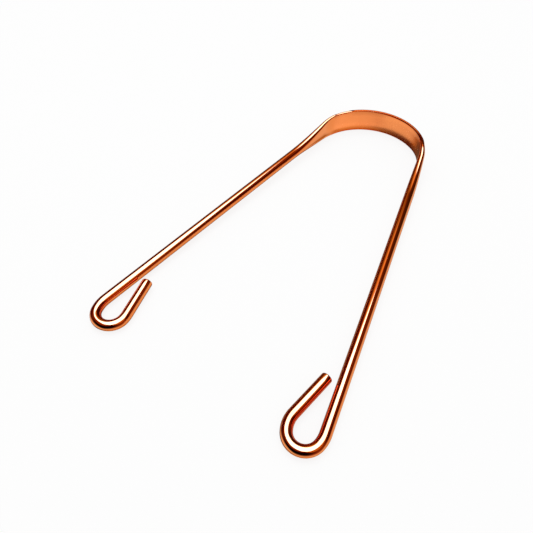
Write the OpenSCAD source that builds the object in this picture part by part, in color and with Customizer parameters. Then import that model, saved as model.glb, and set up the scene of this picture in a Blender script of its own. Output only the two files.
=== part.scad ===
// Tongue scraper formed from one length of round copper wire.
// The middle of the wire is pressed into a flat band and bent to an arch, two arms splay away
// from the arch, and each end of the wire is curled inwards into a teardrop loop.
// Construction frame: the arch's centre is the origin, the crown points to +Y, the arms run
// to -Y and the wire's centre line lies in the plane z = 0. The finished part then stands in
// its resting pose: the lower rim of the band and both loops touch the plane z = 0, and the
// origin is the middle of the footprint.

/* [Wire] */
// Diameter of the round wire
wire_d = 3; // [2.6:0.1:3.4]
// Rounding at the rim of each cut end
cut_edge_r = 0.3; // [0.1:0.05:0.6]
// Length of the end piece that carries the cut face
tip_length = 3; // [2:0.5:5]

/* [Scraping band] */
// Width of the flattened band across its face
band_w = 8.3; // [6:0.1:12]
// Thickness of the flattened band
band_t = 1; // [0.7:0.05:1.6]
// Radius of the arch, to the middle of the band's thickness
arch_r = 18.7; // [16:0.1:24]
// Length of full-width band on each side of the crown
band_half_length = 21; // [19:0.5:25]
// Length over which the band turns into round wire
neck_length = 24; // [12:1:40]
// Exponent that makes the band narrow sooner or later along the neck
neck_ease = 0.75; // [0.6:0.05:1.2]

/* [Arm flex] */
// Length along the band from the crown to the line about which an arm flexes
flex_length = 14.7; // [10:0.1:17]
// Running gap at the round joint face on that line
flex_gap = 0.03; // [0.02:0.01:0.06]

/* [Arms] */
// Angle of each arm away from the centre line
arm_splay = 8.7; // [4:0.1:14]
// Straight length of the left arm, from the arch to its loop
left_arm_length = 100.2; // [70:0.1:130]
// Straight length of the right arm, from the arch to its loop
right_arm_length = 103.2; // [70:0.1:130]

/* [Loops] */
// Radius of the tight curve of each loop, to the wire's centre line
loop_r = 4.15; // [3:0.05:8]
// Radius of the gentle curve into each loop
lead_in_r = 8; // [5:0.1:14]
// Radius of the gentle curve out of each loop
lead_out_r = 7; // [5:0.1:14]
// Angle of the left loop's curve in
left_lead_in_angle = 28; // [5:1:50]
// Angle of the right loop's curve in
right_lead_in_angle = 22; // [5:1:50]
// Angle of the left loop's curve out
left_lead_out_angle = 13; // [5:1:60]
// Angle of the right loop's curve out
right_lead_out_angle = 40; // [5:1:60]
// Whole angle that the left loop turns through
left_loop_turn = 201; // [185:0.5:204]
// Whole angle that the right loop turns through
right_loop_turn = 200; // [185:0.5:206]
// Straight length of the left return leg, with its tip
left_leg_length = 11.7; // [8:0.1:13]
// Straight length of the right return leg, with its tip
right_leg_length = 12.5; // [8:0.1:14]

/* [Hidden] */

left = -1;
right = 1;
round_fn = 48;
sweep_fn = 96;
copper = [0.85, 0.5, 0.31];
bright_copper = [0.92, 0.6, 0.4];
deep_copper = [0.72, 0.38, 0.2];

// Half sizes of the wire and the band
wire_r = wire_d / 2;
band_half_w = band_w / 2;
band_half_t = band_t / 2;

// Radius of the round joint face, as a share of half the thickness
knuckle_share = 1.2;
knuckle_r = knuckle_share * band_half_t;

// Counts for the swept neck: points round a section, and sections along it
neck_sides = 28;
neck_steps = 20;

// Lengths along the centre line, counted from the crown
arch_length = arch_r * (90 - arm_splay) * PI / 180;
neck_end = band_half_length + neck_length;
shoulder_angle = band_half_length / arch_r * 180 / PI;
flex_angle = flex_length / arch_r * 180 / PI;

// Values that differ between the two sides
function arm_length(side) = side == left ? left_arm_length : right_arm_length;
function lead_in_angle(side) = side == left ? left_lead_in_angle : right_lead_in_angle;
function lead_out_angle(side) = side == left ? left_lead_out_angle : right_lead_out_angle;
function loop_turn(side) = side == left ? left_loop_turn : right_loop_turn;
function leg_length(side) = side == left ? left_leg_length : right_leg_length;
function tight_angle(side) = loop_turn(side) - lead_in_angle(side) - lead_out_angle(side);

// A place on the centre line is [x, y, heading]. Both sides are laid out as the right side,
// turning clockwise, and the left one is mirrored.
function ahead(place, distance) =
    [place.x + distance * cos(place.z), place.y + distance * sin(place.z), place.z];
function bend_centre(place, r) = [place.x + r * sin(place.z), place.y - r * cos(place.z)];
function bent(place, r, turn) =
    let (centre = bend_centre(place, r))
    [centre.x - r * sin(place.z - turn), centre.y + r * cos(place.z - turn), place.z - turn];

arch_end = [arch_r * cos(arm_splay), arch_r * sin(arm_splay), arm_splay - 90];
function bend_start(side) = ahead(arch_end, arm_length(side));
function tight_start(side) = bent(bend_start(side), lead_in_r, lead_in_angle(side));
function lead_out_start(side) = bent(tight_start(side), loop_r, tight_angle(side));
function leg_start(side) = bent(lead_out_start(side), lead_out_r, lead_out_angle(side));
function tip_start(side) = ahead(leg_start(side), leg_length(side) - tip_length);

// Place at a length along the centre line from the crown, on the arch or the straight arm
function place_at(length) =
    length < arch_length
    ? let (turned = length / arch_r * 180 / PI)
      [arch_r * sin(turned), arch_r * cos(turned), -turned]
    : ahead(arch_end, length - arch_length);

// Half width and half thickness of the section along the neck
function eased(share) = let (t = pow(share, neck_ease)) t * t * (3 - 2 * t);
function neck_half_w(share) = band_half_w + (wire_r - band_half_w) * eased(share);
function neck_half_t(share) = band_half_t + (wire_r - band_half_t) * eased(share);

// Resting pose: the tilt that brings the shoulders' lower rim and the longer loop to one level
function loop_low_y(side) = bend_centre(tight_start(side), loop_r).y - loop_r;
function loop_far_x(side) = bend_centre(bend_start(side), lead_in_r).x + lead_in_r;
low_y = min(loop_low_y(left), loop_low_y(right));
shoulder_y = arch_r * cos(shoulder_angle);
rest_tilt = asin((band_half_w - wire_r) / (shoulder_y - low_y));
rest_lift = wire_r - low_y * sin(rest_tilt);
front_y = low_y * cos(rest_tilt) - wire_r;
back_y = arch_r * cos(rest_tilt) + (band_half_w - band_half_t) * sin(rest_tilt) + band_half_t;
middle_x = (loop_far_x(right) - loop_far_x(left)) / 2;
middle_y = (front_y + back_y) / 2;

module resting() {
    translate([-middle_x, -middle_y, rest_lift]) rotate([rest_tilt, 0, 0]) children();
}

module on_side(side) {
    if (side == right) children();
    else mirror([1, 0, 0]) children();
}

// Turns a child's +Z to the heading of a place on the centre line
module along(place) {
    translate([place.x, place.y, 0]) rotate([0, 0, place.z]) rotate([0, 90, 0]) children();
}

// Section of the band: flat faces and round rims
module band_section() {
    flat_w = band_w - band_t;
    square([band_t, flat_w], center = true);
    for (rim = [-1, 1]) translate([0, rim * flat_w / 2]) circle(r = band_half_t, $fn = round_fn);
}

// Band along the arch between two angles, counted clockwise from the crown
module band_arc(from_angle, to_angle) {
    rotate([0, 0, 90 - to_angle])
        rotate_extrude(angle = to_angle - from_angle, $fn = sweep_fn)
            translate([arch_r, 0]) band_section();
}

// Upright bar on the flex line of the right side
module knuckle_bar(r) {
    translate([arch_r * sin(flex_angle), arch_r * cos(flex_angle), 0])
        cylinder(r = r, h = 2 * band_w, center = true, $fn = round_fn);
}

// What lies past the flex line of the right side, outside its round joint face
module past_flex_line() {
    difference() {
        rotate([0, 0, -flex_angle]) translate([0, 0, -band_w])
            cube([arch_r, 2 * arch_r, 2 * band_w]);
        knuckle_bar(knuckle_r);
    }
}

// Round wire along an arc that turns clockwise from a place
module wire_arc(place, r, turn) {
    centre = bend_centre(place, r);
    translate([centre.x, centre.y, 0]) rotate([0, 0, place.z + 90 - turn])
        rotate_extrude(angle = turn, $fn = sweep_fn)
            translate([r, 0]) circle(r = wire_r, $fn = round_fn);
}

// Points round one section of the neck: a stadium that turns into a circle
function neck_ring(share) =
    let (place = place_at(band_half_length + share * neck_length),
         half_w = neck_half_w(share),
         half_t = neck_half_t(share))
    [for (i = [0 : neck_sides - 1])
        let (a = 360 * (i + 0.5) / neck_sides,
             out = half_t * cos(a),
             up = (half_w - half_t) * sign(sin(a)) + half_t * sin(a))
        [place.x - out * sin(place.z), place.y + out * cos(place.z), up]];

module neck_sweep() {
    points = [for (k = [0 : neck_steps]) each neck_ring(k / neck_steps)];
    walls = [for (k = [0 : neck_steps - 1], i = [0 : neck_sides - 1])
        let (a = k * neck_sides + i,
             b = k * neck_sides + (i + 1) % neck_sides,
             c = b + neck_sides,
             d = a + neck_sides)
        each [[a, b, c], [a, c, d]]];
    first_cap = [for (i = [neck_sides - 1 : -1 : 0]) i];
    last_cap = [for (i = [0 : neck_sides - 1]) neck_steps * neck_sides + i];
    polyhedron(points = points, faces = concat(walls, [first_cap, last_cap]));
}

// Middle of the band, which scrapes, with a round joint face at each flex line
module scraping_band() {
    reach_angle = flex_angle + 2 * knuckle_r / arch_r * 180 / PI;
    color(bright_copper) resting() difference() {
        band_arc(-reach_angle, reach_angle);
        for (side = [left, right]) on_side(side) past_flex_line();
    }
}

// Full-width band beside the crown, hollowed to turn on the round joint face
module band_shoulder(side) {
    color(bright_copper) resting() on_side(side) difference() {
        band_arc(flex_angle, shoulder_angle);
        knuckle_bar(knuckle_r + flex_gap);
    }
}

// Taper from the flat band to the round wire
module neck(side) {
    color(copper) resting() on_side(side) neck_sweep();
}

// Straight round arm that is held in the hand
module handle_rod(side) {
    rod_length = arch_length + arm_length(side) - neck_end;
    color(copper) resting() on_side(side)
        along(place_at(neck_end)) cylinder(r = wire_r, h = rod_length, $fn = round_fn);
}

// Gentle curve from the arm into the loop
module loop_entry(side) {
    color(copper) resting() on_side(side)
        wire_arc(bend_start(side), lead_in_r, lead_in_angle(side));
}

// Tight curve at the foot of the loop
module loop_curl(side) {
    color(deep_copper) resting() on_side(side)
        wire_arc(tight_start(side), loop_r, tight_angle(side));
}

// Gentle curve from the loop into its return leg
module loop_exit(side) {
    color(copper) resting() on_side(side)
        wire_arc(lead_out_start(side), lead_out_r, lead_out_angle(side));
}

// Straight return leg of the loop
module loop_leg(side) {
    color(copper) resting() on_side(side)
        along(leg_start(side))
            cylinder(r = wire_r, h = leg_length(side) - tip_length, $fn = round_fn);
}

// Cut end of the wire, with its rim rounded over
module wire_tip(side) {
    color(bright_copper) resting() on_side(side) along(tip_start(side))
        rotate_extrude($fn = round_fn) {
            square([wire_r, tip_length - cut_edge_r]);
            square([wire_r - cut_edge_r, tip_length]);
            intersection() {
                translate([wire_r - cut_edge_r, tip_length - cut_edge_r])
                    circle(r = cut_edge_r, $fn = round_fn);
                square([wire_r, tip_length]);
            }
        }
}

scraping_band();
band_shoulder(left);  // left_band_shoulder
band_shoulder(right);  // right_band_shoulder
neck(left);  // left_neck
neck(right);  // right_neck
handle_rod(left);  // left_handle_rod
handle_rod(right);  // right_handle_rod
loop_entry(left);  // left_loop_entry
loop_entry(right);  // right_loop_entry
loop_curl(left);  // left_loop_curl
loop_curl(right);  // right_loop_curl
loop_exit(left);  // left_loop_exit
loop_exit(right);  // right_loop_exit
loop_leg(left);  // left_loop_leg
loop_leg(right);  // right_loop_leg
wire_tip(left);  // left_wire_tip
wire_tip(right);  // right_wire_tip
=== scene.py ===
"""Looks and studio of a tongue scraper bent from one length of round copper wire.

The middle of the wire is pressed into a flat band, the arms stay round and polished, and each
end is curled into a teardrop loop. The wire is modelled along its centre line, in millimetres,
with the middle of the arch as the origin, and is then laid down in its resting pose.
"""
import logging
import math
from contextlib import contextmanager
from dataclasses import dataclass, field, replace
from enum import Enum
from typing import Iterator, Sequence

import bmesh
import bpy
import numpy as np
from mathutils import Euler, Matrix, Vector


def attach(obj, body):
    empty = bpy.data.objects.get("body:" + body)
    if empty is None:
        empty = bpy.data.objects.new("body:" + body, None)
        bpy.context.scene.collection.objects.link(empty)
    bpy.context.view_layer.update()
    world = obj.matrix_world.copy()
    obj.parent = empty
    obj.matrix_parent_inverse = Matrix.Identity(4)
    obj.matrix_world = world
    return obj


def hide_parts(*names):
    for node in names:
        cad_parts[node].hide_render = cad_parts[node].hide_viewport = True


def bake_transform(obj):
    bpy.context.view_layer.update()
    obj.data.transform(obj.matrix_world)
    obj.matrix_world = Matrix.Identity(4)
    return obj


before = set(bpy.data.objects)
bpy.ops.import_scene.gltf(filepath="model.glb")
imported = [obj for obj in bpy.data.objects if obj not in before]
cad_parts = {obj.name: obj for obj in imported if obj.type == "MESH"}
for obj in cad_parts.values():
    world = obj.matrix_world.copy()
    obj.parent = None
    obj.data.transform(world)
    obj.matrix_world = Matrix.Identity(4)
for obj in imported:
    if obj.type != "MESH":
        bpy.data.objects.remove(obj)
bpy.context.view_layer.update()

log = logging.getLogger("tongue_scraper")

MM = 0.001
PLACE_ATTRIBUTE = "wire_place"
POINT_LAYER = "section_point"
QUARTER_TURN = 90.0
ROUND_RIM = 2.0
ROUND_BEVEL = 0.5
WHITE = (1.0, 1.0, 1.0, 1.0)

# The sRGB standard's straight toe and power curve.
SRGB_TOE_END = 0.04045
SRGB_TOE_SLOPE = 12.92
SRGB_OFFSET = 0.055
SRGB_POWER = 2.4


class Side(Enum):
    """The two sides of the scraper, as seen with the arch at the far end."""

    LEFT = "left"
    RIGHT = "right"


class MetalSlot(Enum):
    """The record's material slots."""

    BAND = "pressed_copper_band"
    WIRE = "polished_copper_wire"


MATERIAL_NAMES = {
    MetalSlot.BAND: "satin_pressed_copper",
    MetalSlot.WIRE: "polished_drawn_copper",
}


def smooth(value: float, nothing: float, full: float) -> float:
    """Returns a share that goes smoothly from 0 to 1 between two values."""
    share = min(max((value - nothing) / (full - nothing), 0.0), 1.0)
    return share * share * (3 - 2 * share)


def mixed(one: float, other: float, share: float) -> float:
    """Returns the number that lies a share of the way from one to the other."""
    return one + (other - one) * share


def direction(azimuth: float, elevation: float) -> Vector:
    """Returns the direction at an azimuth from +Y towards +X and an elevation, in degrees."""
    a, e = math.radians(azimuth), math.radians(elevation)
    return Vector((math.sin(a) * math.cos(e), math.cos(a) * math.cos(e), math.sin(e)))


@dataclass(frozen=True)
class Place:
    """A place on the centre line: x and y in millimetres and the heading in degrees."""

    x: float
    y: float
    heading: float

    def ahead(self, distance: float) -> "Place":
        """Returns the place a distance straight on."""
        a = math.radians(self.heading)
        return Place(self.x + distance * math.cos(a), self.y + distance * math.sin(a), self.heading)

    def bend_centre(self, radius: float) -> tuple[float, float]:
        """Returns the middle of a clockwise bend that starts here."""
        a = math.radians(self.heading)
        return self.x + radius * math.sin(a), self.y - radius * math.cos(a)

    def bent(self, radius: float, turn: float) -> "Place":
        """Returns the place at the end of a clockwise bend.

        Args:
            radius: the bend's radius to the centre line, in millimetres.
            turn: how far the bend turns, in degrees.

        Returns:
            The place where the bend ends.
        """
        cx, cy = self.bend_centre(radius)
        a = math.radians(self.heading - turn)
        return Place(cx - radius * math.sin(a), cy + radius * math.cos(a), self.heading - turn)


@dataclass(frozen=True)
class Bend:
    """One clockwise bend of the wire: its radius in millimetres and its angle in degrees."""

    radius: float
    turn: float

    @property
    def length(self) -> float:
        """Returns the bend's length along the centre line."""
        return self.radius * math.radians(self.turn)

    def place(self, start: Place, run: float) -> Place:
        """Returns the place a run along the bend that begins at the start."""
        return start.bent(self.radius, math.degrees(run / self.radius))


@dataclass(frozen=True)
class Straight:
    """One straight stretch of the wire, with its length in millimetres."""

    length: float

    def place(self, start: Place, run: float) -> Place:
        """Returns the place a run along the stretch that begins at the start."""
        return start.ahead(run)


@dataclass(frozen=True)
class WireLine:
    """The centre line of one side, laid out as the right side, which turns clockwise.

    A loop is three bends, its entry, curl and exit. Lengths and radii are in millimetres, turns
    and the splay of the arm in degrees.
    """

    side: Side
    arm_length: float
    loop_turns: tuple[float, float, float]
    leg_length: float
    loop_radii: tuple[float, float, float] = (8.0, 4.15, 7.0)
    arch_radius: float = 18.7
    arm_splay: float = 8.7

    @property
    def crown(self) -> Place:
        """Returns the middle of the arch, where both sides begin."""
        return Place(0, self.arch_radius, 0)

    @property
    def arch(self) -> Bend:
        """Returns the half arch from the crown to the straight arm."""
        return Bend(self.arch_radius, QUARTER_TURN - self.arm_splay)

    @property
    def loop_bends(self) -> list[Bend]:
        """Returns the bends of the loop, in order."""
        return [Bend(radius, turn) for radius, turn in zip(self.loop_radii, self.loop_turns)]

    def place_at(self, length: float) -> Place:
        """Returns the place at a length from the crown, on the arch or the straight arm.

        Args:
            length: the length along the centre line, in millimetres.

        Returns:
            The place there.
        """
        arch = self.arch
        if length < arch.length:
            return arch.place(self.crown, length)
        return self.crown.bent(arch.radius, arch.turn).ahead(length - arch.length)

    def samples(self, step: float = 0.1) -> np.ndarray:
        """Returns the centre line as close points.

        Args:
            step: the distance between the points, in millimetres.

        Returns:
            One row a point: x, y, heading in radians, and the length from the crown.
        """
        stretches = (self.arch, Straight(self.arm_length), *self.loop_bends,
                     Straight(self.leg_length))
        rows = []
        start, reached = self.crown, 0.0
        for stretch in stretches:
            for run in np.arange(0, stretch.length, step):
                here = stretch.place(start, run)
                rows.append((here.x, here.y, math.radians(here.heading), reached + run))
            start = stretch.place(start, stretch.length)
            reached += stretch.length
        return np.array(rows)


@dataclass(frozen=True)
class RestingPose:
    """How the bent wire lies on the table: its tilt in degrees, and the shift in millimetres."""

    tilt: float = 1.33755
    shift: tuple[float, float, float] = (-0.22689, 43.81047, 3.9610)

    def matrix(self) -> Matrix:
        """Returns the move from the layout, in metres, to the row frame."""
        return Matrix.Translation(Vector(self.shift) * MM) @ Matrix.Rotation(
            math.radians(self.tilt), 4, "X")


@dataclass(frozen=True)
class Section:
    """A section of the wire: flat faces with round rims, down to a full circle, in millimetres.

    At evenness 0 the rims hold most points, as the band's need, and at evenness 1 the points are
    spread evenly, as round wire's are. Squareness is 2 for a round rim and more for a flatter
    one, and the foot is the lower rim. Thinning is how much the inner face is drawn in towards
    the foot, and its power says how late. Inset is how far inwards the whole section stands.
    Chamfer is how much of the upper rim is taken off on the inner side, at an angle in degrees.
    """

    half_width: float
    half_thickness: float
    evenness: float = 0.0
    thinning: float = 0.0
    thinning_power: int = 3
    squareness: float = ROUND_RIM
    foot_squareness: float = ROUND_RIM
    inset: float = 0.0
    chamfer: float = 0.0
    chamfer_angle: float = 46.0
    cap_points: int = 24
    flat_points: int = 8

    @property
    def flat(self) -> float:
        """Returns half the height of the flat faces."""
        return self.half_width - self.half_thickness

    def _at(self, share: float) -> tuple[float, float]:
        """Returns a point of the section by its share of the way round.

        Args:
            share: the share of the plain, round-rimmed outline, from the outer face's top over
                the upper rim.

        Returns:
            The point, out and up from the centre line.
        """
        cap = math.pi * self.half_thickness
        run = (share % 1.0) * (2 * cap + 4 * self.flat)
        for sign in (1, -1):
            if run <= cap:
                a = run / self.half_thickness
                power = 2 / (self.squareness if sign == 1 else self.foot_squareness)
                across = math.copysign(abs(math.cos(a)) ** power, math.cos(a))
                return self._worked(sign * self.half_thickness * across, sign * (
                    self.flat + self.half_thickness * math.sin(a) ** power))
            run -= cap
            if run <= 2 * self.flat or sign == -1:
                return self._worked(-sign * self.half_thickness, sign * (self.flat - run))
            run -= 2 * self.flat
        raise ValueError("the run is longer than the section")

    def _worked(self, out: float, up: float) -> tuple[float, float]:
        """Returns a point of the plain section thinned, chamfered and set inwards.

        Args:
            out: how far out the point lies, in millimetres.
            up: how far up it lies.

        Returns:
            The same point, out and up, on the worked section.
        """
        if out < 0 and up < 0:
            low = min(-up / self.flat, 1.0) ** self.thinning_power
            out *= 1 - low * self.thinning / self.half_thickness
        if out < 0 < up and self.chamfer:
            a = math.radians(self.chamfer_angle)
            corner = self.half_thickness * math.cos(a) + self.half_width * math.sin(a)
            over = up * math.sin(a) - out * math.cos(a) - corner + self.chamfer * math.cos(a)
            out, up = out + max(over, 0) * math.cos(a), up - max(over, 0) * math.sin(a)
        return out - self.inset, up

    def points(self) -> list[tuple[float, float]]:
        """Returns the section's points, from rim to rim and back.

        Returns:
            Each point's place, out and up, in millimetres.
        """
        cap = math.pi * self.half_thickness
        whole = 2 * cap + 4 * self.flat
        half_runs = [(i + 0.5) * cap / self.cap_points for i in range(self.cap_points)]
        first, last = half_runs[-1], cap + 2 * self.flat + half_runs[0]
        half_runs += [first + (last - first) * (k + 1) / (self.flat_points + 1)
                      for k in range(self.flat_points)]
        shares = [r / whole + half for half in (0, 0.5) for r in half_runs]
        count = len(shares)
        middle = (self.cap_points - 1) / 2
        even = [0.5 * cap / whole + (i - middle) / count for i in range(count)]
        return [self._at(mixed(share, e, self.evenness)) for share, e in zip(shares, even)]


@contextmanager
def edit_mode(piece: bpy.types.Object) -> Iterator[None]:
    """Opens a piece in edit mode with nothing selected, and closes it again.

    Args:
        piece: the piece to work on.

    Yields:
        Nothing, while the piece is open.
    """
    bpy.ops.object.select_all(action="DESELECT")
    bpy.context.view_layer.objects.active = piece
    piece.select_set(True)
    bpy.ops.object.mode_set(mode="EDIT")
    bpy.ops.mesh.select_mode(type="VERT")
    bpy.ops.mesh.select_all(action="DESELECT")
    yield
    bpy.ops.object.mode_set(mode="OBJECT")


@dataclass
class WireShaper:
    """Shapes one length of wire from its first section, ring by ring, as it is bent.

    A pressed section is not a scaled circle, so each point knows its number in the section and
    is laid on it. The open end is always what is selected.
    """

    name: str
    line: WireLine
    piece: bpy.types.Object = field(init=False)

    def first_section(self, place: Place, section: Section) -> None:
        """Adds a circle of wire, pulls its halves apart and presses it to the section.

        Args:
            place: where the section stands.
            section: its shape.
        """
        bpy.ops.object.select_all(action="DESELECT")
        count = 2 * section.cap_points
        bpy.ops.mesh.primitive_circle_add(
            vertices=count, radius=section.half_thickness * MM,
            location=(place.x * MM, place.y * MM, 0))
        self.piece = bpy.context.object
        self.piece.name = self.piece.data.name = self.name
        self.piece.rotation_euler = (
            Euler((0, math.pi / 2, math.radians(place.heading))).to_matrix()
            @ Matrix.Rotation(math.pi / count, 3, "Z")).to_euler()
        bpy.ops.object.transform_apply(location=True, rotation=True, scale=True)
        with edit_mode(self.piece):
            self._pull_apart(section)
            self._number_points(place, section)
            bpy.ops.mesh.select_all(action="SELECT")
            self._lay_on(place, section)

    def _pull_apart(self, section: Section) -> None:
        """Moves the circle's halves to the two rims and divides the flat faces between them.

        Args:
            section: the section that says how far and into how many.
        """
        for sign in (1, -1):
            mesh = self._mesh()
            for vert in mesh.verts:
                vert.select_set(vert.co.z * sign > 0)
            mesh.select_flush_mode()
            bpy.ops.transform.translate(value=(0, 0, sign * section.flat * MM))
            bpy.ops.mesh.select_all(action="DESELECT")
        for edge in self._mesh().edges:
            if edge.verts[0].co.z * edge.verts[1].co.z < 0:
                edge.select_set(True)
        bpy.ops.mesh.subdivide(number_cuts=section.flat_points)

    def _number_points(self, place: Place, section: Section) -> None:
        """Gives each point the number of the section's point that it stands on.

        Args:
            place: where the section stands.
            section: its shape, whose rims are still round here.
        """
        mesh = self._mesh()
        layer = mesh.verts.layers.int.new(POINT_LAYER)
        plain = replace(section, thinning=0.0, squareness=ROUND_RIM, foot_squareness=ROUND_RIM,
                        inset=0.0, chamfer=0.0)
        layout = [self._world(place, point) for point in plain.points()]
        for vert in mesh.verts:
            vert[layer] = min(range(len(layout)), key=lambda i: (layout[i] - vert.co).length)

    def _lay_on(self, place: Place, section: Section) -> None:
        """Lays each point of the open end on its place in a section.

        Args:
            place: where the section stands.
            section: its shape.
        """
        mesh = self._mesh()
        layer = mesh.verts.layers.int[POINT_LAYER]
        layout = [self._world(place, point) for point in section.points()]
        for vert in mesh.verts:
            if vert.select:
                vert.co = layout[vert[layer]]
        bmesh.update_edit_mesh(self.piece.data)

    def _mesh(self) -> bmesh.types.BMesh:
        """Returns the piece's mesh in edit mode."""
        return bmesh.from_edit_mesh(self.piece.data)

    @staticmethod
    def _world(place: Place, point: tuple[float, float]) -> Vector:
        """Returns a section's point, out and up, as a place in space."""
        a = math.radians(place.heading)
        return Vector((place.x - point[0] * math.sin(a), place.y + point[0] * math.cos(a),
                       point[1])) * MM

    def bend(self, place: Place, bend: Bend, steps: int) -> Place:
        """Spins the open end round a bend.

        Args:
            place: where the open end stands.
            bend: the bend to make.
            steps: how many rings it takes.

        Returns:
            The place where the bend ends.
        """
        cx, cy = place.bend_centre(bend.radius)
        bpy.ops.mesh.spin(steps=steps, angle=math.radians(bend.turn),
                          center=(cx * MM, cy * MM, 0), axis=(0, 0, 1))
        return place.bent(bend.radius, bend.turn)

    def run(self, place: Place, length: float, steps: int) -> Place:
        """Extrudes the open end straight on.

        Args:
            place: where the open end stands.
            length: how far it goes, in millimetres.
            steps: how many rings it takes.

        Returns:
            The place where the stretch ends.
        """
        a = math.radians(place.heading)
        step = length / steps * MM
        for _ in range(steps):
            bpy.ops.mesh.extrude_region_move(
                TRANSFORM_OT_translate={"value": (step * math.cos(a), step * math.sin(a), 0)})
        return place.ahead(length)

    def press(self, before: Place, after: Place, section: Section) -> None:
        """Extrudes the open end by one step and presses it to another section.

        Args:
            before: where the open end stands.
            after: where the new section stands.
            section: the new section.
        """
        bpy.ops.mesh.extrude_region_move(TRANSFORM_OT_translate={
            "value": ((after.x - before.x) * MM, (after.y - before.y) * MM, 0)})
        self._lay_on(after, section)

    def close(self, cut_rim: float = 0.0, segments: int = 5) -> None:
        """Closes both ends, and rounds the rim of the open end if it is a cut one.

        Args:
            cut_rim: the rounding's radius in millimetres, or 0 where the wire goes on.
            segments: how many steps the rounding takes.
        """
        bpy.ops.mesh.edge_face_add()
        if cut_rim:
            bpy.ops.mesh.bevel(offset=cut_rim * MM, segments=segments, profile=ROUND_BEVEL,
                               affect="EDGES")
        bpy.ops.mesh.select_all(action="DESELECT")
        bpy.ops.mesh.select_non_manifold()
        bpy.ops.mesh.edge_face_add()
        bpy.ops.mesh.select_all(action="SELECT")
        bpy.ops.mesh.normals_make_consistent(inside=False)

    def _note_places(self) -> None:
        """Notes each point's place in the unbent wire, out, up and along, for the finishes."""
        mesh = self.piece.data
        co = np.array([v.co for v in mesh.vertices], float) / MM
        line = self.line.samples()
        nearest = np.array([int(np.argmin((line[:, 0] - x) ** 2 + (line[:, 1] - y) ** 2))
                            for x, y in co[:, :2]])
        x, y, heading, along = line[nearest].T
        out = (co[:, 1] - y) * np.cos(heading) - (co[:, 0] - x) * np.sin(heading)
        ahead = (co[:, 0] - x) * np.cos(heading) + (co[:, 1] - y) * np.sin(heading)
        rows = np.stack([out, co[:, 2], along + ahead], axis=1) * MM
        attribute = mesh.attributes.new(PLACE_ATTRIBUTE, "FLOAT_VECTOR", "POINT")
        attribute.data.foreach_set("vector", rows.astype(np.float32).ravel())

    def lay_down(self, pose: RestingPose, smooth_angle: float = 20.0) -> bpy.types.Object:
        """Mirrors a left piece, lays it in the resting pose and smooths it.

        Args:
            pose: how the wire rests.
            smooth_angle: edges sharper than this, in degrees, stay crisp.

        Returns:
            The finished piece, at the origin, with its place in its mesh.
        """
        self._note_places()
        with edit_mode(self.piece):
            bpy.ops.mesh.select_all(action="SELECT")
            if self.line.side is Side.LEFT:
                bpy.ops.transform.resize(value=(-1, 1, 1), center_override=(0, 0, 0))
            bpy.ops.mesh.normals_make_consistent(inside=False)
            bpy.ops.mesh.select_all(action="DESELECT")
        self.piece.matrix_world = pose.matrix()
        bpy.ops.object.transform_apply(location=True, rotation=True, scale=True)
        bpy.ops.object.shade_smooth_by_angle(angle=math.radians(smooth_angle))
        return self.piece


def linear(colour: str) -> tuple[float, float, float, float]:
    """Returns an sRGB hex colour as linear red, green, blue and alpha.

    Args:
        colour: the colour as "#RRGGBB".

    Returns:
        The linear values, from 0 to 1.
    """
    parts = [int(colour[i:i + 2], 16) / 255 for i in (1, 3, 5)]
    return (*[c / SRGB_TOE_SLOPE if c <= SRGB_TOE_END
              else ((c + SRGB_OFFSET) / (1 + SRGB_OFFSET)) ** SRGB_POWER for c in parts], 1.0)


def add_node(tree: bpy.types.NodeTree, kind: str, settings: dict | None = None,
             inputs: dict | None = None) -> bpy.types.Node:
    """Adds a node with its settings and links.

    Args:
        tree: the node tree.
        kind: the node's type name.
        settings: properties to set on the node.
        inputs: socket name or number to a value, or to the output socket that feeds it.

    Returns:
        The new node.
    """
    node = tree.nodes.new(kind)
    for name, value in (settings or {}).items():
        setattr(node, name, value)
    for name, value in (inputs or {}).items():
        if isinstance(value, bpy.types.NodeSocket):
            tree.links.new(value, node.inputs[name])
        else:
            node.inputs[name].default_value = value
    return node


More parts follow.
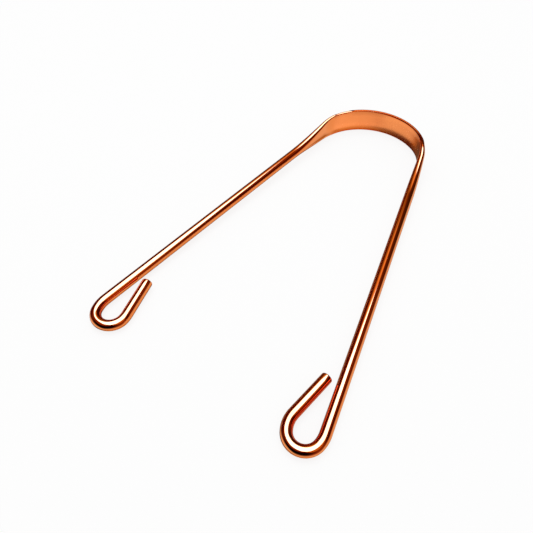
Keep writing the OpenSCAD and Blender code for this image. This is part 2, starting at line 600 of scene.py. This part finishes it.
@dataclass(frozen=True)
class CopperFinish:
    """Solid copper, drawn or rolled and then polished, with its sizes in millimetres.

    Bare copper is a warm orange metal whose edges go pale. Drawing through a die leaves fine
    lines along the wire, and handling leaves faint duller patches. Noise seldom leaves the
    middle of its range, so the two ranges say where patches start and are full.
    """

    bright: str
    deep: str
    roughness: float
    roughness_spread: float
    line_spacing: float
    line_length: float
    line_depth: float
    patch_size: float
    line_detail: float = 2.0
    patch_detail: float = 3.0
    dull_range: tuple[float, float] = (0.35, 0.65)
    deep_range: tuple[float, float] = (0.3, 0.7)

    def surface(self, tree: bpy.types.NodeTree) -> "CopperSurface":
        """Returns the finish as sockets, drawn along the unbent wire.

        Args:
            tree: the material's node tree.

        Returns:
            The surface, which other finishes can still change.
        """
        place = add_node(tree, "ShaderNodeAttribute", {"attribute_name": PLACE_ATTRIBUTE})
        coords = add_node(tree, "ShaderNodeTexCoord")
        across = 1 / (self.line_spacing * MM)
        stretched = add_node(tree, "ShaderNodeMapping", inputs={
            "Vector": place.outputs["Vector"],
            "Scale": (across, across, 1 / (self.line_length * MM))})
        lines = add_node(tree, "ShaderNodeTexNoise", inputs={
            "Vector": stretched.outputs["Vector"], "Scale": 1.0, "Detail": self.line_detail})
        height = add_node(tree, "ShaderNodeMath", {"operation": "MULTIPLY"}, {
            0: lines.outputs["Fac"], 1: self.line_depth})
        patches = add_node(tree, "ShaderNodeTexNoise", inputs={
            "Vector": coords.outputs["Object"], "Scale": 1 / (self.patch_size * MM),
            "Detail": self.patch_detail})
        dulled = add_node(tree, "ShaderNodeMapRange", inputs={
            "Value": patches.outputs["Fac"],
            "From Min": self.dull_range[0], "From Max": self.dull_range[1],
            "To Min": self.roughness - self.roughness_spread,
            "To Max": self.roughness + self.roughness_spread})
        tone = add_node(tree, "ShaderNodeMapRange", inputs={
            "Value": patches.outputs["Fac"],
            "From Min": self.deep_range[0], "From Max": self.deep_range[1]})
        colour = add_node(tree, "ShaderNodeMix", {"data_type": "RGBA"}, {
            "Factor": tone.outputs["Result"], "A": linear(self.bright), "B": linear(self.deep)})
        return CopperSurface(
            tree, colour.outputs["Result"], dulled.outputs["Result"], height.outputs["Value"])


@dataclass
class CopperSurface:
    """The sockets of a copper surface while its material is put together."""

    tree: bpy.types.NodeTree
    colour: bpy.types.NodeSocket
    roughness: bpy.types.NodeSocket
    height: bpy.types.NodeSocket

    def between(self, axis: str, nothing: float, full: float,
                whole: bpy.types.NodeSocket | float = 1.0) -> bpy.types.NodeSocket:
        """Returns a share that grows along one part of the place in the unbent wire.

        Args:
            axis: X for out, Y for up or Z for along.
            nothing: where the share is 0, in millimetres.
            full: where it is whole; both are negative inside a bend and below the middle.
            whole: the share there, which may be another share.

        Returns:
            The share's socket.
        """
        place = add_node(self.tree, "ShaderNodeAttribute", {"attribute_name": PLACE_ATTRIBUTE})
        return self._grown(place.outputs["Vector"], axis, nothing, full, whole)

    def rightwards(self, nothing: float, full: float) -> bpy.types.NodeSocket:
        """Returns a share that grows from left to right across the scraper, in millimetres."""
        coords = add_node(self.tree, "ShaderNodeTexCoord")
        return self._grown(coords.outputs["Object"], "X", nothing, full, 1.0)

    def _grown(self, vector: bpy.types.NodeSocket, axis: str, nothing: float, full: float,
               whole: bpy.types.NodeSocket | float) -> bpy.types.NodeSocket:
        """Returns a share that goes smoothly from 0 to whole along one part of a vector.

        Args:
            vector: the place's socket, in metres.
            axis: the part of it, X, Y or Z.
            nothing: where the share is 0, in millimetres.
            full: where it is whole.
            whole: the share there, which may be another share.

        Returns:
            The share's socket.
        """
        parts = add_node(self.tree, "ShaderNodeSeparateXYZ", inputs={"Vector": vector})
        return add_node(self.tree, "ShaderNodeMapRange", {"interpolation_type": "SMOOTHSTEP"}, {
            "Value": parts.outputs[axis], "From Min": nothing * MM, "From Max": full * MM,
            "To Max": whole}).outputs["Result"]

    def turn_into(self, other: "CopperSurface", share: bpy.types.NodeSocket) -> None:
        """Changes this surface into another one.

        Args:
            other: the surface that it becomes.
            share: how far it has changed.
        """
        self.tint(other.colour, share)
        self.burnish(other.roughness, share)
        self.height = add_node(self.tree, "ShaderNodeMix", inputs={
            "Factor": share, "A": self.height, "B": other.height}).outputs["Result"]

    def tint(self, colour: bpy.types.NodeSocket | tuple, share: bpy.types.NodeSocket) -> None:
        """Changes the colour to another one by a share."""
        self.colour = add_node(self.tree, "ShaderNodeMix", {"data_type": "RGBA"}, {
            "Factor": share, "A": self.colour, "B": colour}).outputs["Result"]

    def burnish(self, roughness: bpy.types.NodeSocket | float,
                share: bpy.types.NodeSocket) -> None:
        """Changes the roughness to another one by a share."""
        self.roughness = add_node(self.tree, "ShaderNodeMix", inputs={
            "Factor": share, "A": self.roughness, "B": roughness}).outputs["Result"]

    def finish(self) -> None:
        """Joins the sockets to the metal, whose line heights are in millimetres."""
        bump = add_node(self.tree, "ShaderNodeBump", inputs={
            "Height": self.height, "Strength": 1.0, "Distance": MM})
        metal = add_node(self.tree, "ShaderNodeBsdfPrincipled", inputs={
            "Metallic": 1.0, "Base Color": self.colour, "Roughness": self.roughness,
            "Normal": bump.outputs["Normal"]})
        add_node(self.tree, "ShaderNodeOutputMaterial", inputs={"Surface": metal.outputs["BSDF"]})


# Drawn copper wire, buffed to a mirror: hard-edged reflections, and die lines that buffing has
# left too shallow to catch the light. They are spaced wider than real ones, so that a close
# view can hold them.
POLISHED_WIRE = CopperFinish(
    bright="#EE955D", deep="#E88A52", roughness=0.03, roughness_spread=0.01,
    line_spacing=0.12, line_length=14.0, line_depth=0.00004, patch_size=9.0)

# The same wire pressed between rollers: a satin face that smears what it mirrors, with faint
# roller lines, again spaced wider than real ones.
PRESSED_BAND = CopperFinish(
    bright="#FA9A5E", deep="#F49159", roughness=0.24, roughness_spread=0.03,
    line_spacing=0.16, line_length=18.0, line_depth=0.0012, patch_size=12.0)


@dataclass(frozen=True)
class CopperLook:
    """The finishes along the wire: a satin band, burnished rims, buffed arms and loops.

    The scraping rim at the foot of the band is painted a deeper orange: painted shade for the
    band's own shadow on the table, as the rim mirrors it. A dark line is painted along the
    broken inner edge of the upper rim, right of the crown: a painted dark reflection. The inner
    sides of the loops are painted redder and darker: painted shade for the shaded floor and
    wire that they mirror.

    Each pair of millimetres says where a finish or a painted shade starts and is full: inside is
    negative out from the centre line, up and along are up and along the wire, and right is across
    the scraper.
    """

    rim_up: tuple[float, float] = (3.6, 3.8)
    rim_roughness: float = 0.07
    # Painted shade: the band's shadow on the table, mirrored in its lower rim, painted as a deeper
    # orange.
    foot: str = "#C04E00"
    foot_up: tuple[float, float] = (-2.6, -4.0)
    # Painted dark reflection: a dark line along the inner edge of the upper rim, right of the
    # crown.
    edge: str = "#A8360A"
    edge_inside: tuple[float, float] = (-0.05, -0.2)
    edge_up: tuple[float, float] = (3.5, 3.8)
    edge_right: tuple[float, float] = (-9.0, 2.0)
    buffed_along: tuple[float, float] = (16.5, 26.0)
    # Painted shade: the inner sides of the loops are painted redder and darker for the shaded floor
    # and wire they mirror.
    painted_loop_shade: str = "#C42C00"
    painted_loop_shade_share: float = 0.9
    painted_loop_shade_along: tuple[float, float] = (124.0, 134.0)
    painted_loop_shade_inside: tuple[float, float] = (-0.4, -1.25)

    def make(self, slot: MetalSlot) -> bpy.types.Material:
        """Returns the material of a slot, which both sides share.

        Args:
            slot: the record's material slot.

        Returns:
            The slot's material, made when it is first asked for.
        """
        name = MATERIAL_NAMES[slot]
        material = bpy.data.materials.get(name)
        if material:
            return material
        material = bpy.data.materials.new(name)
        material.use_nodes = True
        tree = material.node_tree
        tree.nodes.clear()
        surface = PRESSED_BAND.surface(tree)
        for sign in (1, -1):
            surface.burnish(self.rim_roughness,
                            surface.between("Y", *[sign * up for up in self.rim_up]))
        # Painted shade along the foot of the band.
        surface.tint(linear(self.foot), surface.between("Y", *self.foot_up))
        # Painted dark reflection along the upper rim's inner edge, right of the crown.
        edge = surface.between("Y", *self.edge_up, whole=surface.rightwards(*self.edge_right))
        surface.tint(linear(self.edge), surface.between("X", *self.edge_inside, whole=edge))
        surface.turn_into(POLISHED_WIRE.surface(tree), surface.between("Z", *self.buffed_along))
        if slot is MetalSlot.WIRE:
            # Painted shade on the inner sides of the loops.
            loop = surface.between("Z", *self.painted_loop_shade_along, whole=self.painted_loop_shade_share)
            surface.tint(linear(self.painted_loop_shade), surface.between("X", *self.painted_loop_shade_inside, whole=loop))
        surface.finish()
        return material


@dataclass
class ScrapingBand:
    """Half of the flat band that scrapes, from the crown to where it starts to narrow.

    Rollers never leave both sides alike: the upper rim is flat, with a broken inner edge, from
    the left of the crown to the right shoulder, and round beyond. The right shoulder was pressed
    less, so it stands in further. The points at two lengths, where the band would start and stop
    bending with the arm, are worked out and not used.

    Lengths from the crown and steps are in millimetres. Those of the flat rim and of the
    chamfer's turn are negative to the left.
    """

    line: WireLine
    pose: RestingPose
    section: Section = Section(
        half_width=4.1425, half_thickness=0.4935, thinning=0.4, squareness=9.0,
        foot_squareness=9.0, chamfer=0.38)
    round_rim: float = 2.2
    flat_from: tuple[float, float] = (-15.5, -13.0)
    flat_until: tuple[float, float] = (17.0, 21.0)
    far_chamfer_angle: float = 33.0
    chamfer_turn: tuple[float, float] = (2.0, 9.0)
    shoulder: dict[Side, float] = field(
        default_factory=lambda: {Side.LEFT: 0.0, Side.RIGHT: 0.3})
    shoulder_run: tuple[float, float] = (13.0, 24.0)
    half_length: float = 21.0
    bend_from: float = 9.0
    bend_to: float = 20.4
    seam_steps: tuple[float, ...] = (0.05, 0.15, 0.3)
    step: float = 0.5

    def section_at(self, length: float) -> Section:
        """Returns the section at a length from the crown.

        Args:
            length: the length on this side, in millimetres.

        Returns:
            The section there.
        """
        signed = -length if self.line.side is Side.LEFT else length
        flat = smooth(signed, *self.flat_from) * (1 - smooth(signed, *self.flat_until))
        extra = self.shoulder[self.line.side] * smooth(length, *self.shoulder_run)
        return replace(
            self.section,
            half_thickness=self.section.half_thickness + extra,
            inset=extra,
            squareness=mixed(self.round_rim, self.section.squareness, flat),
            chamfer=self.section.chamfer * flat,
            chamfer_angle=mixed(self.section.chamfer_angle, self.far_chamfer_angle,
                                smooth(signed, *self.chamfer_turn)))

    def build(self) -> bpy.types.Object:
        """Presses the section ring by ring round the arch.

        Returns:
            The piece, laid down in the resting pose.
        """
        side = self.line.side.value
        shaper = WireShaper(f"{side}_scraping_band", self.line)
        place = self.line.place_at(0)
        shaper.first_section(place, self.section_at(0))
        seam = sum(self.seam_steps)
        steps = round((self.half_length - 2 * seam) / self.step)
        lengths = list(np.cumsum(self.seam_steps))
        lengths += list(np.linspace(seam, self.half_length - seam, steps + 1)[1:])
        lengths += list(self.half_length - seam + np.cumsum(self.seam_steps[::-1]))
        with edit_mode(shaper.piece):
            bpy.ops.mesh.select_all(action="SELECT")
            for length in lengths:
                after = self.line.place_at(length)
                shaper.press(place, after, self.section_at(length))
                place = after
            shaper.close()
        piece = shaper.lay_down(self.pose)
        start, end = (self._point(length) for length in (self.bend_from, self.bend_to))
        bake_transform(piece)
        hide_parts("scraping_band", f"{side}_band_shoulder")
        return piece

    def _point(self, length: float) -> Vector:
        """Returns the row-frame point at a length from the crown.

        Args:
            length: the length on this side, in millimetres.

        Returns:
            The point on the centre line, in metres.
        """
        place = self.line.place_at(length)
        x = -place.x if self.line.side is Side.LEFT else place.x
        return self.pose.matrix() @ Vector((x * MM, place.y * MM, 0))

    def dress(self, piece: bpy.types.Object) -> None:
        """Gives the band its finish and its painted shade."""
        piece.data.materials.append(CopperLook().make(MetalSlot.BAND))


@dataclass
class HandleWire:
    """The neck, round arm and teardrop loop of one side.

    Sizes are in millimetres, and a bend's step in degrees. Side ease is the power of the neck's
    share: the lower it is, the sooner that neck leaves the band's width.
    """

    line: WireLine
    pose: RestingPose
    wire_radius: float = 1.498
    neck_start: float = 21.0
    neck_length: float = 24.0
    side_ease: dict[Side, float] = field(
        default_factory=lambda: {Side.LEFT: 0.75, Side.RIGHT: 0.68})
    cut_rim: float = 0.3
    seam_steps: tuple[float, ...] = (0.05, 0.15, 0.3)
    neck_steps: int = 48
    rod_steps: int = 30
    leg_steps: int = 6
    bend_step: float = 4.0
    stretches: tuple[str, ...] = (
        "neck", "handle_rod", "loop_entry", "loop_curl", "loop_exit", "loop_leg", "wire_tip")

    def neck_section(self, share: float) -> Section:
        """Returns the section at a share of the neck.

        Args:
            share: 0 at the band and 1 at the round wire.

        Returns:
            The section there.
        """
        eased = smooth(share ** self.side_ease[self.line.side], 0, 1)
        start = ScrapingBand(self.line, self.pose).section_at(
            self.neck_start + share * self.neck_length)
        return replace(
            start,
            half_width=mixed(start.half_width, self.wire_radius, eased),
            half_thickness=mixed(start.half_thickness, self.wire_radius, eased),
            evenness=eased,
            thinning=start.thinning * (1 - eased),
            squareness=mixed(start.squareness, ROUND_RIM, eased),
            foot_squareness=mixed(start.foot_squareness, ROUND_RIM, eased),
            inset=start.inset * (1 - eased),
            chamfer=start.chamfer * (1 - eased))

    def build(self) -> bpy.types.Object:
        """Presses the neck, draws the arm and bends the loop.

        Returns:
            The piece, which rides on this side's arm.
        """
        side = self.line.side.value
        shaper = WireShaper(f"{side}_handle_wire", self.line)
        place = self.line.place_at(self.neck_start)
        shaper.first_section(place, self.neck_section(0))
        lengths = list(np.cumsum(self.seam_steps))
        lengths += list(np.linspace(lengths[-1], self.neck_length, self.neck_steps)[1:])
        with edit_mode(shaper.piece):
            bpy.ops.mesh.select_all(action="SELECT")
            for length in lengths:
                after = self.line.place_at(self.neck_start + length)
                shaper.press(place, after, self.neck_section(length / self.neck_length))
                place = after
            rod = self.line.arch.length + self.line.arm_length - self.neck_start - self.neck_length
            place = shaper.run(place, rod, self.rod_steps)
            for bend in self.line.loop_bends:
                place = shaper.bend(place, bend, round(bend.turn / self.bend_step))
            shaper.run(place, self.line.leg_length, self.leg_steps)
            shaper.close(self.cut_rim)
        piece = shaper.lay_down(self.pose)
        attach(piece, f"{side}_arm")
        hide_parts(*[f"{side}_{stretch}" for stretch in self.stretches])
        return piece

    def dress(self, piece: bpy.types.Object) -> None:
        """Gives the wire its finish and its painted shade."""
        piece.data.materials.append(CopperLook().make(MetalSlot.WIRE))


@dataclass(frozen=True)
class StudioPatch:
    """A round, soft-edged patch of the studio that polished metal mirrors.

    Azimuth runs from +Y towards +X and elevation up from the table. The patch has its full
    colour up to the inner angle from its middle, and none past the outer one, all in degrees.
    """

    azimuth: float
    elevation: float
    inner: float
    outer: float
    colour: str
    strength: float = 1.0

    @property
    def axis(self) -> Vector:
        """Returns the direction of the patch's middle."""
        return direction(self.azimuth, self.elevation)


@dataclass(frozen=True)
class SoftboxPanel:
    """A flat softbox overhead, as the scraper sees it.

    Each side is the azimuth that it faces and the elevation of its nearest point. Softness is
    how far its edge fades to either hand, all in degrees.
    """

    sides: tuple[tuple[float, float], ...]
    softness: float
    colour: str
    strength: float

    def outward(self) -> list[Vector]:
        """Returns the directions square to the sides' planes, away from the panel."""
        return [direction(azimuth, elevation - QUARTER_TURN) for azimuth, elevation in self.sides]


@dataclass
class Studio:
    """A pale floor, soft light from above, and the camera at the photograph's angle.

    The room, patches and softbox are what polished metal mirrors, and nothing else sees them.
    The lamp and the floor are in metres. The camera is in millimetres and degrees in the wire's
    own layout, and its lens in pixels of the photograph.
    """

    pose: RestingPose
    room: str = "#8E4100"
    # Azimuth, elevation, inner and outer angle, colour and, where it isn't 1, strength.
    patches: tuple[StudioPatch, ...] = (
        StudioPatch(-73, -9, 32, 56, "#4C0800"),
        StudioPatch(-180, 32, 36, 77, "#0A0000"),
        StudioPatch(62, 30, 3, 20, "#2C0C00"),
        StudioPatch(100, 56, 16, 32, "#D5903F"),
        StudioPatch(8, 10, 19, 48, "#412500"),
        StudioPatch(-40, 32, 3, 14, "#A87C30"),
        StudioPatch(-150, 76, 14, 47, "#A84F00"),
        StudioPatch(-30, 58, 13, 20, "#FFC97F", 1.10),
        StudioPatch(131, -87, 47, 86, "#F6ECD7"),
        StudioPatch(42, -43, 44, 53, "#F2E6D2"),
        StudioPatch(55, -48, 14, 34, "#D2C4B0"),
        StudioPatch(44, -88, 55, 57, "#FFF1E1", 1.10),
        StudioPatch(-131, -40, 20, 50, "#FFFDED", 1.06),
        StudioPatch(-28, -76, 48, 51, "#B3780D"),
        StudioPatch(-86, -83, 41, 48, "#470000"),
        StudioPatch(48, -30, 1, 27, "#FCEAC8"),
        StudioPatch(79, -84, 33, 41, "#DCB970"),
        StudioPatch(-39, -55, 24, 30, "#6C4D35"),
    )
    softbox: SoftboxPanel = SoftboxPanel(
        sides=((-129, 63), (-70, 50.5), (-20, 53), (36, 59.3), (95, 63), (145, 62.5), (-165, 65)),
        softness=1.5, colour="#98C7FF", strength=10.5)
    ambient: float = 0.65
    lamp_power: float = 1.6
    lamp_size: float = 0.5
    lamp_place: tuple[float, float, float] = (-0.1, 0.1, 0.6)
    floor_size: float = 6.0
    floor_colour: str = "#F4F4F4"
    floor_glow: float = 0.86
    camera_azimuth: float = 31.094
    camera_elevation: float = 49.486
    camera_distance: float = 147.476
    camera_target: tuple[float, float, float] = (-2.565, -63.933, 0.0)
    camera_clip: float = 10.0
    focal_pixels: float = 519.37
    frame_pixels: float = 533.0

    def build(self) -> None:
        """Makes the world, floor, lamp and camera."""
        self._world()
        self._floor()
        self._lamp()
        self._camera()

    def _world(self) -> None:
        """Paints what the camera, the metal and matt surfaces see past the floor.

        The world isn't sampled as a lamp, because the softbox is there for mirror rays alone.
        """
        world = bpy.data.worlds.new("studio")
        bpy.context.scene.world = world
        world.use_nodes = True
        world.cycles.sampling_method = "NONE"
        tree = world.node_tree
        tree.nodes.clear()
        ray = add_node(tree, "ShaderNodeTexCoord").outputs["Generated"]
        colour = linear(self.room)
        for patch in self.patches:
            share = self._near(tree, ray, patch.axis, patch.outer, patch.inner)
            colour = self._over(tree, colour, share, patch.colour, patch.strength)
        inside, edge = 1.0, self.softbox.softness
        for outward in self.softbox.outward():
            share = self._near(tree, ray, outward, QUARTER_TURN - edge, QUARTER_TURN + edge)
            inside = add_node(tree, "ShaderNodeMath", {"operation": "MINIMUM"}, {
                0: inside, 1: share}).outputs["Value"]
        colour = self._over(tree, colour, inside, self.softbox.colour, self.softbox.strength)
        path = add_node(tree, "ShaderNodeLightPath")
        mirrored = add_node(tree, "ShaderNodeBackground", inputs={"Color": colour})
        plain = add_node(tree, "ShaderNodeBackground", inputs={
            "Color": WHITE, "Strength": self.ambient})
        seen = add_node(tree, "ShaderNodeBackground", inputs={"Color": WHITE})
        metal = add_node(tree, "ShaderNodeMixShader", inputs={
            0: path.outputs["Is Glossy Ray"], 1: plain.outputs[0], 2: mirrored.outputs[0]})
        whole = add_node(tree, "ShaderNodeMixShader", inputs={
            0: path.outputs["Is Camera Ray"], 1: metal.outputs[0], 2: seen.outputs[0]})
        add_node(tree, "ShaderNodeOutputWorld", inputs={"Surface": whole.outputs[0]})

    @staticmethod
    def _near(tree: bpy.types.NodeTree, ray: bpy.types.NodeSocket, axis: Vector,
              nothing: float, full: float) -> bpy.types.NodeSocket:
        """Returns a share that goes smoothly from 0 to 1 with the angle from an axis.

        Args:
            tree: the world's node tree.
            ray: the socket that gives the direction looked in.
            axis: the direction that the angle is measured from.
            nothing: the angle where the share is 0, in degrees.
            full: the angle where it is 1.

        Returns:
            The share's socket.
        """
        nearness = add_node(tree, "ShaderNodeVectorMath", {"operation": "DOT_PRODUCT"}, {
            0: ray, 1: axis})
        return add_node(tree, "ShaderNodeMapRange", {"interpolation_type": "SMOOTHSTEP"}, {
            "Value": nearness.outputs["Value"],
            "From Min": math.cos(math.radians(nothing)),
            "From Max": math.cos(math.radians(full))}).outputs["Result"]

    @staticmethod
    def _over(tree: bpy.types.NodeTree, under: bpy.types.NodeSocket | tuple,
              share: bpy.types.NodeSocket, colour: str, strength: float) -> bpy.types.NodeSocket:
        """Returns what is there with a colour laid over it.

        Args:
            tree: the world's node tree.
            under: what is there, as a socket or a linear colour.
            share: how far the colour covers it.
            colour: the colour laid over, as sRGB hex.
            strength: how bright that colour is, where 1 is as written.

        Returns:
            The socket of both together.
        """
        lit = [c * strength for c in linear(colour)[:3]] + [1.0]
        return add_node(tree, "ShaderNodeMix", {"data_type": "RGBA"}, {
            "Factor": share, "A": under, "B": lit}).outputs["Result"]

    def _floor(self) -> None:
        """Makes the pale floor, which takes the shadow and shows white to the camera.

        The metal doesn't mirror it, because the world's paint already holds the table.
        """
        bpy.ops.object.select_all(action="DESELECT")
        bpy.ops.mesh.primitive_plane_add(size=self.floor_size, location=(0, 0, 0))
        floor = bpy.context.object
        floor.name = "studio_floor"
        floor.visible_glossy = False
        material = bpy.data.materials.new("pale_floor")
        material.use_nodes = True
        tree = material.node_tree
        tree.nodes.clear()
        path = add_node(tree, "ShaderNodeLightPath")
        matt = add_node(tree, "ShaderNodeBsdfDiffuse", inputs={"Color": linear(self.floor_colour)})
        glow = add_node(tree, "ShaderNodeEmission", inputs={"Color": WHITE, "Strength": 1.0})
        shown = add_node(tree, "ShaderNodeMixShader", inputs={
            0: self.floor_glow, 1: matt.outputs[0], 2: glow.outputs[0]})
        whole = add_node(tree, "ShaderNodeMixShader", inputs={
            0: path.outputs["Is Camera Ray"], 1: matt.outputs[0], 2: shown.outputs[0]})
        add_node(tree, "ShaderNodeOutputMaterial", inputs={"Surface": whole.outputs[0]})
        floor.data.materials.append(material)

    def _lamp(self) -> None:
        """Hangs one large soft lamp above the scraper, which the metal doesn't mirror."""
        light = bpy.data.lights.new("overhead_softbox", "AREA")
        light.shape, light.size, light.energy = "DISK", self.lamp_size, self.lamp_power
        lamp = bpy.data.objects.new("overhead_softbox", light)
        lamp.location = self.lamp_place
        lamp.rotation_euler = (-lamp.location).to_track_quat("-Z", "Y").to_euler()
        lamp.visible_glossy = False
        bpy.context.scene.collection.objects.link(lamp)

    def _camera(self) -> None:
        """Stands the camera where the photograph was taken from."""
        a, e = math.radians(self.camera_azimuth), math.radians(self.camera_elevation)
        back = Vector((math.sin(a) * math.cos(e), -math.cos(a) * math.cos(e), math.sin(e)))
        right = Vector((math.cos(a), math.sin(a), 0))
        turn = Matrix((right, back.cross(right), back)).transposed().to_4x4()
        spot = (Vector(self.camera_target) + back * self.camera_distance) * MM
        data = bpy.data.cameras.new("photo_camera")
        data.lens = data.sensor_width * self.focal_pixels / self.frame_pixels
        data.clip_start = self.camera_clip * MM
        camera = bpy.data.objects.new("photo_camera", data)
        camera.matrix_world = self.pose.matrix() @ Matrix.Translation(spot) @ turn
        bpy.context.scene.collection.objects.link(camera)
        bpy.context.scene.camera = camera


def main() -> None:
    """Builds the studio and both sides of the scraper, and logs each piece's number of faces."""
    logging.basicConfig(level=logging.INFO, format="%(name)s: %(message)s")
    bpy.context.scene.view_settings.view_transform = "Standard"
    pose = RestingPose()
    Studio(pose).build()
    lines = (
        WireLine(Side.LEFT, arm_length=100.2, loop_turns=(28.0, 160.0, 13.0), leg_length=11.7),
        WireLine(Side.RIGHT, arm_length=103.2, loop_turns=(22.0, 138.0, 40.0), leg_length=12.5),
    )
    for line in lines:
        for part in (ScrapingBand(line, pose), HandleWire(line, pose)):
            piece = part.build()
            part.dress(piece)
            log.info("%s: %d faces", piece.name, len(piece.data.polygons))


if __name__ == "__main__":
    main()
